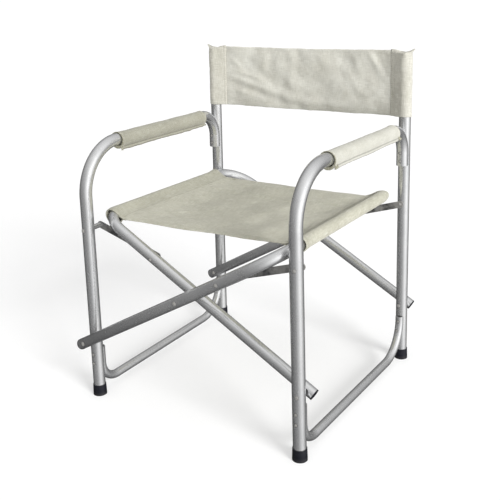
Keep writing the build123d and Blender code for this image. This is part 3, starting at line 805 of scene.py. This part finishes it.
def back_pocket(side):
    s = 1.0 if side == "right" else -1.0
    f = waves(31 if s > 0 else 32, 16, 14, 60)
    zs = [(BZ0 + d, 1.4) for d in (9.0, 6.0, 3.0, 1.0)]
    zs += [(BZ0 + d, h * 0.93) for d, h in turn]
    zin = [BZ0 + d for d in (1.0, 2.5, 4.5, 6.0, 7.5, 9.5, 12.0)] + list(np.linspace(BZ0 + 15, 766.0, 44))
    zin += list(np.linspace(767.0, BZ1, 14))
    zs += [(z, 0.0) for z in zin]
    sect = []
    for z, h in zs:
        k = flat_top(z)
        ry = RP * (1 - k) + 1.0 * k
        rx_out = RP * (1 - k) + 22.5 * k
        rx_in = RP * (1 - k) + 17.0 * k
        # teardrop: from the seam along the rear layer, round the post, back
        # along the front layer.  x here points inboard
        sx_ = SEAM + 3.0
        pr = []
        ta = math.acos(min(1.0, ry / SEAM)) if k < 1 else math.pi / 2
        a0, a1 = ta, 2 * math.pi - ta
        sp = 0.8 + (0.5 if z < BZ0 + 12 else 0.0)
        first = np.array([rx_in * math.cos(a0), ry * math.sin(a0)])
        n_fl = 12
        for t in np.linspace(0, 1, n_fl)[:-1]:
            p = np.array([sx_, sp]) * (1 - t) + first * t
            pr.append(p)
        for a in np.linspace(a0, a1, 41):
            rx = rx_in if math.cos(a) > 0 else rx_out
            pr.append(np.array([rx * math.cos(a), ry * math.sin(a)]))
        last = pr[-1]
        for t in np.linspace(0, 1, n_fl)[1:]:
            pr.append(last * (1 - t) + np.array([sx_, -sp]) * t)
        pr = np.array(pr)
        T = unit(np.gradient(pr, axis=0))
        nrm = np.stack([-T[:, 1], T[:, 0]], 1)      # inwards
        if h:
            pr = pr + nrm * h
        # top line: ear at the outer corner, a dip over the post
        zz = np.full(len(pr), z)
        if z > 769.0:
            w_ = sstep((z - 769.0) / (BZ1 - 769.0))
            xx = pr[:, 0]
            shape_ = (3.2 * np.exp(-((xx + 21.0) / 5.5) ** 2) - 5.2 * np.exp(-((xx - 3.0) / 13.0) ** 2)
                      + 1.5 * sstep((xx - 18.0) / 14.0))
            zz = zz + w_ * shape_
        q = np.stack([-s * pr[:, 0], HALF_D + pr[:, 1], zz], 1)
        sect.append(q)
    Q = np.array(sect).transpose(1, 0, 2)
    nq = Q.shape[0]
    arc_u = arclen(Q, 0)[:, Q.shape[1] // 2]
    arc_v = arclen(Q, 1)[nq // 2]
    N = normals_of(Q)
    c_out = N[nq // 2, Q.shape[1] // 2]
    sg = 1.0 if c_out[0] * s > 0 else -1.0
    N = N * sg
    uu = np.repeat(arc_u[:, None], Q.shape[1], 1)
    vv = np.repeat(arc_v[None, :], nq, 0)
    amp = 0.30 + 0.5 * sstep((vv - 130) / 25.0)
    D = amp * f(uu, vv)
    # soft vertical and slanted pulls in the pocket cloth
    D += 0.6 * np.sin(uu / 5.2 + 0.02 * vv) * sstep((vv - 112) / 30.0)
    fl = np.minimum(np.arange(nq), nq - 1 - np.arange(nq))
    D *= np.clip(fl / 8.0, 0.15, 1)[:, None]
    Q = Q + N * D[..., None]
    dip = np.zeros((nq, 1))
    for i_s in (3, nq - 4):
        dip[:, 0] += 0.5 * np.exp(-((np.arange(nq) - i_s) / 1.0) ** 2)
    Q = Q - N * dip[..., None]
    Wd = place(side, Q)
    o = new_object("back_pocket_cloth_" + side, Wd.reshape(-1, 3) * MM,
                   grid_faces(nq, Q.shape[1], flip=(sg < 0)),
                   np.stack([uu + (700 if s > 0 else 0), vv], -1) * MM, [POCKET_C])
    solidify(o, 1.1 * MM)
    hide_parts("back_pocket_" + side)
    NW = normals_of(Wd) * sg
    outs = [j for j, (z, h) in enumerate(zs) if h == 0]
    ln = []
    for i_s in (nq - 2, nq - 4, 3):
        ln.append((Wd[i_s, outs] + NW[i_s, outs] * 0.58, NW[i_s, outs]))
    j_hem = min(outs, key=lambda j: abs(zs[j][0] - (BZ0 + 7.5)))
    ln.append((Wd[:, j_hem] + NW[:, j_hem] * 0.58, NW[:, j_hem]))
    st = stitches("back_stitching_" + side, ln, THREAD, length=3.2, gap=1.8, width=0.85, height=0.5, seed=21 if s > 0 else 22)
    body = side + "_side_frame"
    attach(o, body)
    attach(st, body)
    return o


bp_r = back_pocket("right")
bp_l = back_pocket("left")

IN = 15.0                       # how far the panel's edge lies inside the flap
xl_, xr_ = [], []
zrows = [(BZ0 + d, 1.4) for d in (12.0, 8.5, 5.0, 2.5, 1.0)] + [(BZ0 + d, h * 0.93) for d, h in turn]
ztop = 774.5
zin = [BZ0 + d for d in (1.0, 2.5, 4.5, 6.5, 8.0, 9.5, 11.0, 13.0, 16.0)] + list(np.linspace(BZ0 + 19.5, ztop - 19.5, 52))
zin += [ztop - d for d in (16.0, 13.0, 11.0, 9.5, 8.0, 6.5, 4.5, 2.5, 1.0)]
zrows += [(z, 0.0) for z in zin] + [(ztop - d, h * 0.93) for d, h in turn[::-1]]
zrows += [(ztop - d, 1.4) for d in (1.0, 2.5, 5.0, 8.5, 12.0)]
NU = 171
sect = []
for z, h in zrows:
    cl = place("left", (0, HALF_D, z))
    cr = place("right", (0, HALF_D, z))
    x0, x1 = cl[0] + SEAM - IN, cr[0] - SEAM + IN
    t = np.linspace(0, 1, NU)
    sect.append(np.stack([x0 + (x1 - x0) * t, np.full(NU, (cl[1] + cr[1]) / 2 + h), np.full(NU, z)], 1))
Q = np.array(sect).transpose(1, 0, 2)
Xb, Zb = Q[..., 0].copy(), Q[..., 2].copy()
inside = sstep((np.minimum(Xb - Q[0, :, 0][None, :], Q[-1, :, 0][None, :] - Xb) - 13.0) / 26.0)
fb, fm, fs = waves(51, 12, 90, 260), waves(52, 18, 26, 80), waves(53, 22, 8, 24)
D = 1.7 * fb(Xb, Zb * 1.2) + 0.45 * fm(Xb, Zb) + 0.05 * fs(Xb, Zb)
# the cloth has bagged backwards a little where it is leant on
D += -7.0 * np.sin(np.pi * np.clip((Xb + 236) / 472, 0, 1)) ** 1.2 * np.sin(np.pi * np.clip((Zb - BZ0 + 40) / 235, 0, 1))
# folds, heights towards the front
D += ridge(Xb, Zb, [(-232, 700), (-150, 678), (-80, 656), (-10, 640), (80, 633), (200, 632)], 3.4, 13.0, 30)
D -= ridge(Xb, Zb, [(-230, 684), (-150, 660), (-80, 640), (10, 627)], 2.2, 13.0, 35)
D += ridge(Xb, Zb, [(-230, 714), (-180, 705), (-130, 692), (-84, 672)], 1.7, 8.5, 34)
D -= ridge(Xb, Zb, [(-230, 707), (-180, 696), (-130, 684)], 1.0, 7.0, 34)
D += ridge(Xb, Zb, [(-230, 668), (-180, 655), (-110, 641)], 1.3, 8.0, 34)
D += ridge(Xb, Zb, [(-232, 752), (-205, 735), (-180, 712)], 1.1, 7.0, 22)
D += ridge(Xb, Zb, [(-122, 780), (-116, 745), (-128, 700)], 1.3, 11.0, 34)
D -= ridge(Xb, Zb, [(-98, 780), (-97, 745), (-106, 705)], 1.0, 10.0, 34)
D += ridge(Xb, Zb, [(-40, 782), (-33, 735), (-42, 695), (-34, 650)], 1.9, 13.0, 45)
D -= ridge(Xb, Zb, [(-8, 782), (-18, 735), (-20, 690)], 1.3, 13.0, 40)
D += ridge(Xb, Zb, [(34, 784), (60, 730), (66, 685)], 1.3, 14.0, 42)
D -= ridge(Xb, Zb, [(92, 784), (100, 735), (98, 690)], 1.1, 15.0, 42)
D += ridge(Xb, Zb, [(124, 784), (142, 744), (152, 700)], 1.5, 10.0, 38)
D -= ridge(Xb, Zb, [(112, 700), (140, 668), (160, 640)], 0.9, 12.0, 35)
D += ridge(Xb, Zb, [(162, 784), (196, 738), (220, 696)], 1.9, 8.5, 34)
D -= ridge(Xb, Zb, [(180, 784), (208, 742), (228, 708)], 1.2, 7.5, 34)
D += ridge(Xb, Zb, [(228, 690), (196, 672), (150, 664)], 1.0, 8.0, 30)
D += ridge(Xb, Zb, [(228, 660), (180, 648), (110, 646)], 1.0, 8.0, 30)
g = np.random.RandomState(77)
for xs_, sg_ in ((-231, 1), (231, -1)):
    for z_ in np.arange(BZ0 + 14, ztop - 8, 13.0):
        z_ = z_ + g.uniform(-4, 4)
        ln_ = g.uniform(12, 30)
        D += ridge(Xb, Zb, [(xs_, z_), (xs_ + sg_ * ln_, z_ + g.uniform(-6, 6))], g.uniform(0.3, 0.8), 3.0, 9)
D = D * inside
Q[..., 1] -= D
# lower edge turns under and away from the light
low = np.clip((644 - Zb) / 24.0, 0, 1)
Q[..., 1] += 3.4 * low ** 1.5 * inside
hem_b = np.array([0.28 * math.exp(-((z - BZ0 - 9.0) / 1.5) ** 2) + 0.28 * math.exp(-((ztop - 9.0 - z) / 1.5) ** 2)
                  if h == 0 else 0.0 for z, h in zrows])
Q[..., 1] += hem_b[None, :]
# both long edges sag a touch between the posts
t_ = np.clip((Xb - Q[0, :, 0][None, :]) / (Q[-1, :, 0] - Q[0, :, 0])[None, :], 0, 1)
bow = np.sin(np.pi * t_)
Q[..., 2] += -2.4 * bow * np.clip((Zb - 700) / 74, 0, 1) - 1.8 * bow * np.clip((700 - Zb) / 80, 0, 1)
Q[..., 2] += (0.28 * fm(Xb, 0 * Xb) + 0.08 * fs(Xb, 0 * Xb)) * inside
nq = NU
uu = np.repeat(arclen(Q, 0)[:, Q.shape[1] // 2][:, None], Q.shape[1], 1)
vv = np.repeat(arclen(Q, 1)[nq // 2][None, :], nq, 0)
NW = normals_of(Q)
sgn = 1.0 if NW[nq // 2, Q.shape[1] // 2, 1] < 0 else -1.0
panel = new_object("back_sling_panel", Q.reshape(-1, 3) * MM, grid_faces(nq, Q.shape[1], flip=(sgn < 0)),
                   np.stack([uu + 120, vv], -1) * MM, [BACK_C])
solidify(panel, 1.1 * MM)
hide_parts("back_panel")
NW = NW * sgn
outs = [j for j, (z, h) in enumerate(zrows) if h == 0]
j1 = min(outs, key=lambda j: abs(zrows[j][0] - (BZ0 + 9.5)))
j2 = min(outs, key=lambda j: abs(zrows[j][0] - (ztop - 9.5)))
keep_i = [i for i in range(nq) if 0.045 < t_[i, nv // 2 if nv // 2 < Q.shape[1] else 0] < 0.955]
ln = [(Q[keep_i, j] + NW[keep_i, j] * 0.58, NW[keep_i, j]) for j in (j1, j2)]
panel_st = stitches("back_panel_stitching", ln, THREAD, seed=23)

# ------------------------------------------------------------------
# arm sleeves: a canvas tube with its seam allowance left as a fin
# ------------------------------------------------------------------


def arm_sleeve(side):
    s = 1.0 if side == "right" else -1.0
    SY0, SY1 = (-133.0, 188.0) if s > 0 else (-148.0, 186.0)
    seed = 61 if s > 0 else 71
    fbig, fmd, fsm = waves(seed, 12, 60, 160), waves(seed + 1, 16, 16, 50), waves(seed + 2, 20, 7, 18)
    R = 18.1
    # where the seam allowance sits round the sleeve, and how far it is laid over
    fin_a, lay = (math.radians(-31.0), math.radians(-62.0)) if s > 0 else (math.radians(-58.0), math.radians(12.0))
    roll = [(1.6 - 1.6 * math.sin(a), 1.0 + math.cos(a)) for a in (math.pi * q_ / 8 for q_ in range(1, 8))]
    ys = [(SY0 + d, 2.0) for d in (8.5, 6.0, 3.8, 2.4)] + [(SY0 + d, h) for d, h in roll]
    yin = [SY0 + d for d in (1.6, 2.7, 4.0, 5.0, 6.0, 7.5, 10.0)] + list(np.linspace(SY0 + 13, SY1 - 13, 96))
    yin += [SY1 - d for d in (10.0, 7.5, 6.0, 5.0, 4.0, 2.7, 1.6)]
    ys += [(y, 0.0) for y in yin] + [(SY1 - d, h) for d, h in roll[::-1]]
    ys += [(SY1 - d, 2.0) for d in (2.4, 3.8, 6.0, 8.5)]
    sect = []
    for y, h in ys:
        e = min(y - SY0, SY1 - y)
        r = R + 1.5 * math.exp(-e / 8.0)
        pr = []
        wing = 0.085
        # fin, out to in, then round, then in to out
        for t in np.linspace(1, 0, 6)[:-1]:
            rr = r + 5.6 * t
            da = wing * (1 - t) ** 2 + 0.035
            pr.append((rr, fin_a + da))
        for a in np.linspace(fin_a + wing + 0.035, fin_a + 2 * math.pi - wing - 0.035, 66):
            pr.append((r, a))
        for t in np.linspace(0, 1, 6)[1:]:
            rr = r + 5.6 * t
            da = wing * (1 - t) ** 2 + 0.035
            pr.append((rr, fin_a + 2 * math.pi - da))
        pr = np.array([(rr * math.cos(a), rr * math.sin(a)) for rr, a in pr])
        root = (r + 0.4) * np.array([math.cos(fin_a), math.sin(fin_a)])
        over = sstep((np.hypot(pr[:, 0], pr[:, 1]) - r - 0.2) / 1.6)[:, None]
        dq = pr - root
        cl_, sl_ = math.cos(lay), math.sin(lay)
        laid = root + np.stack([cl_ * dq[:, 0] - sl_ * dq[:, 1], sl_ * dq[:, 0] + cl_ * dq[:, 1]], 1)
        pr = pr * (1 - over) + laid * over
        T = unit(np.gradient(pr, axis=0))
        nrm = np.stack([-T[:, 1], T[:, 0]], 1)
        if h:
            core = np.clip((24.0 - np.hypot(pr[:, 0], pr[:, 1])) / 4.0, 0, 1)
            a_t = np.arctan2(pr[:, 1], pr[:, 0])
            slack = -0.9 * np.clip(np.sin(a_t), 0, 1) ** 2 + 0.7 * np.clip(-np.sin(a_t), 0, 1) ** 2
            room = np.hypot(pr[:, 0], pr[:, 1] - 2.4) + slack - 15.3
            thick = np.clip(room, 0.15, 5.2)
            pr = pr + nrm * (0.5 * h * thick * core)[:, None]
        sect.append(np.stack([pr[:, 0], np.full(len(pr), y), 595.0 - 2.4 + pr[:, 1]], 1))
    Qs = np.array(sect).transpose(1, 0, 2)
    nq_, nr_ = Qs.shape[:2]
    N = normals_of(Qs)
    sg = 1.0 if (N[nq_ // 2, nr_ // 2] @ (Qs[nq_ // 2, nr_ // 2] - np.array([0, Qs[nq_ // 2, nr_ // 2, 1], 592.6]))) > 0 else -1.0
    N = N * sg
    uu_ = np.repeat(arclen(Qs, 0)[:, nr_ // 2][:, None], nr_, 1)
    vv_ = np.repeat(arclen(Qs, 1)[nq_ // 2][None, :], nq_, 0)
    ang = np.arctan2(Qs[..., 2] - 592.6, Qs[..., 0])
    yy_ = Qs[..., 1]
    D_ = 0.12 * fbig(uu_, yy_) + 0.07 * fmd(uu_, yy_) + 0.03 * fsm(uu_, yy_)
    # flattened a little on top by use, slack underneath
    D_ += -0.9 * np.clip(np.sin(ang), 0, 1) ** 2 + 0.7 * np.clip(-np.sin(ang), 0, 1) ** 2
    gg = np.random.RandomState(seed + 5)
    for _ in range(9):
        a_, y_, l_ = gg.uniform(20, 90), gg.uniform(SY0 + 30, SY1 - 40), gg.uniform(20, 60)
        D_ += ridge(uu_, yy_, [(a_, y_), (a_ + gg.uniform(-9, 9), y_ + l_)], gg.uniform(0.15, 0.4), 3.5, 14)
    dips = 0.28 * (np.exp(-((yy_ - SY0 - 5.5) / 1.1) ** 2) + np.exp(-((SY1 - 5.5 - yy_) / 1.1) ** 2))
    D_ -= dips
    endf = np.ones_like(D_)
    out_dir = unit(np.stack([Qs[..., 0], 0 * yy_, Qs[..., 2] - 592.6], -1))
    Qs = Qs + out_dir * (D_ * endf)[..., None]
    # the fin hangs unevenly
    fin_w = np.clip((np.hypot(Qs[..., 0], Qs[..., 2] - 592.6) - 18.6) / 4.0, 0, 1)
    Qs[..., 2] += -1.0 * fin_w * (1 + 0.5 * np.sin(yy_ / 31.0 + s)) + 0.30 * fin_w * fmd(yy_, 0 * yy_)
    # folded rear corner
    cr = fin_w * sstep((yy_ - (SY1 - 16)) / 16.0)
    Qs[..., 0] += 3.0 * cr
    Qs[..., 2] += 3.5 * cr
    Wd = place(side, Qs)
    o = new_object("arm_sleeve_cloth_" + side, Wd.reshape(-1, 3) * MM, grid_faces(nq_, nr_, flip=(sg < 0)),
                   np.stack([uu_ + (300 if s > 0 else 0), vv_], -1) * MM, [SLEEVE_C[side], HEM_C])
    # the turned-in hems get a darker, greener canvas: painted shade inside the sleeve mouths
    hem_row = [abs(h) > 0.2 for y, h in ys]
    idx = []
    for i_ in range(nq_ - 1):
        for j_ in range(nr_ - 1):
            idx.append(1 if hem_row[j_] and hem_row[j_ + 1] else 0)
    o.data.polygons.foreach_set("material_index", idx)
    solidify(o, 1.15 * MM)
    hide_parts("arm_sleeve_" + side)
    NWs = normals_of(Wd) * sg
    outs_ = [j for j, (y, h) in enumerate(ys) if h == 0]
    ln_ = []
    for y_ in (SY0 + 5.0, SY1 - 5.0):
        j = min(outs_, key=lambda j: abs(ys[j][0] - y_))
        ln_.append((Wd[5:-5, j] + NWs[5:-5, j] * 0.6, NWs[5:-5, j]))
    ln_.append((Wd[nq_ - 5, outs_] + NWs[nq_ - 5, outs_] * 0.6, NWs[nq_ - 5, outs_]))
    st = stitches("sleeve_stitching_" + side, ln_, THREAD, length=2.6, gap=1.0, seed=seed + 9)
    gg = np.random.RandomState(seed + 11)
    rts = []
    tip = Wd[-1, outs_[-1]]
    for _ in range(9):
        rts.append((tip + gg.normal(0, 1, 3) * (1.0, 2.5, 1.0), (gg.normal(0, .6), 0.8, gg.normal(0.2, .6)), gg.uniform(2.5, 6)))
    tip = Wd[-1, outs_[0]]
    for _ in range(8):
        rts.append((tip + gg.normal(0, 1, 3) * (1.0, 2.0, 1.0), (gg.normal(0, .6), -0.8, gg.normal(-0.2, .6)), gg.uniform(2.5, 5)))
    fr = strands("sleeve_loose_threads_" + side, rts, THREAD, seed=seed)
    for q in (o, st, fr):
        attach(q, side + "_side_frame")
    return o


arm_sleeve("right")
arm_sleeve("left")

# ------------------------------------------------------------------
# cloth: how it follows the joints
# ------------------------------------------------------------------
for q in (seat, seat_st, seat_fray):
    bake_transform(q)
for q in (panel, panel_st):
    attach(q, "right_side_frame")
    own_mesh(q)

# ------------------------------------------------------------------
# floor and light
# ------------------------------------------------------------------
fm_ = Mat("floor_paper")
nz = fm_.noise(fm_.coords(), 3.0, 3.0, 0.5)
fm_.set(Base_Color=fm_.mix(nz, (0.55, 0.55, 0.55), (0.57, 0.57, 0.57)), Roughness=0.95)
fm_.b.inputs["Emission Color"].default_value = (1.0, 1.0, 1.0, 1.0)
fm_.b.inputs["Emission Strength"].default_value = 0.44
floor = new_object("floor", [(-200, -200, 0), (200, -200, 0), (200, 200, 0), (-200, 200, 0)], [(0, 1, 2, 3)],
                   mats=[fm_.m], smooth=False)

floor.visible_glossy = False

world = bpy.data.worlds.new("studio")
bpy.context.scene.world = world
world.use_nodes = True
wt = world.node_tree
wt.nodes.clear()
wo = wt.nodes.new("ShaderNodeOutputWorld")
bg_fill = wt.nodes.new("ShaderNodeBackground")
bg_mirror = wt.nodes.new("ShaderNodeBackground")
mixs = wt.nodes.new("ShaderNodeMixShader")
lp = wt.nodes.new("ShaderNodeLightPath")
tc = wt.nodes.new("ShaderNodeTexCoord")
bg_fill.inputs[0].default_value = (1.0, 1.0, 1.0, 1.0)
bg_fill.inputs[1].default_value = 0.46


def wmath(op, a, b=0.0, c=0.0, clamp=False):
    n = wt.nodes.new("ShaderNodeMath")
    n.operation = op
    n.use_clamp = clamp
    for s_, v in zip(n.inputs, (a, b, c)):
        if hasattr(v, "is_output"):
            wt.links.new(v, s_)
        else:
            s_.default_value = v
    return n.outputs[0]


def facing(v, power):
    n = wt.nodes.new("ShaderNodeVectorMath")
    n.operation = "DOT_PRODUCT"
    wt.links.new(tc.outputs["Generated"], n.inputs[0])
    n.inputs[1].default_value = v
    return wmath("POWER", wmath("MULTIPLY_ADD", n.outputs["Value"], 0.5, 0.5, clamp=True), power)


# what the metal mirrors: one large light screen on the right, a dim one in
# front on the left, the ceiling above, and darkness behind
val = wmath("MULTIPLY", facing((0.985, -0.125, 0.06), 6.5), 1.12)
val = wmath("ADD", val, wmath("MULTIPLY", facing((0.22, -0.97, 0.0), 1.7), 0.19))
val = wmath("ADD", val, wmath("MULTIPLY", facing((0.10, 0.10, 0.99), 3.0), 0.62))
val = wmath("ADD", val, 0.025)
wt.links.new(val, bg_mirror.inputs[1])
bg_mirror.inputs[0].default_value = (1.0, 1.0, 1.0, 1.0)
wt.links.new(lp.outputs["Is Glossy Ray"], mixs.inputs[0])
wt.links.new(bg_fill.outputs[0], mixs.inputs[1])
wt.links.new(bg_mirror.outputs[0], mixs.inputs[2])
# seen directly, the studio's walls are as white as the floor
bg_wall = wt.nodes.new("ShaderNodeBackground")
bg_wall.inputs[0].default_value = (1.0, 1.0, 1.0, 1.0)
bg_wall.inputs[1].default_value = 1.0
mixw = wt.nodes.new("ShaderNodeMixShader")
wt.links.new(lp.outputs["Is Camera Ray"], mixw.inputs[0])
wt.links.new(mixs.outputs[0], mixw.inputs[1])
wt.links.new(bg_wall.outputs[0], mixw.inputs[2])
wt.links.new(mixw.outputs[0], wo.inputs[0])


def softlight(name, direction, strength, angle):
    d = bpy.data.lights.new(name, "SUN")
    d.energy = strength
    d.angle = math.radians(angle)
    o = bpy.data.objects.new(name, d)
    bpy.context.scene.collection.objects.link(o)
    o.rotation_euler = Vector(direction).to_track_quat("Z", "Y").to_euler()
    o.visible_glossy = False
    return o


softlight("key", (0.86, -0.34, 0.40), 3.7, 24.0)
softlight("top", (0.15, -0.25, 0.95), 0.55, 40.0)

sc = bpy.context.scene
sc.view_settings.view_transform = "Standard"
sc.view_settings.look = "None"
sc.view_settings.exposure = 0.0
sc.view_settings.gamma = 1.0
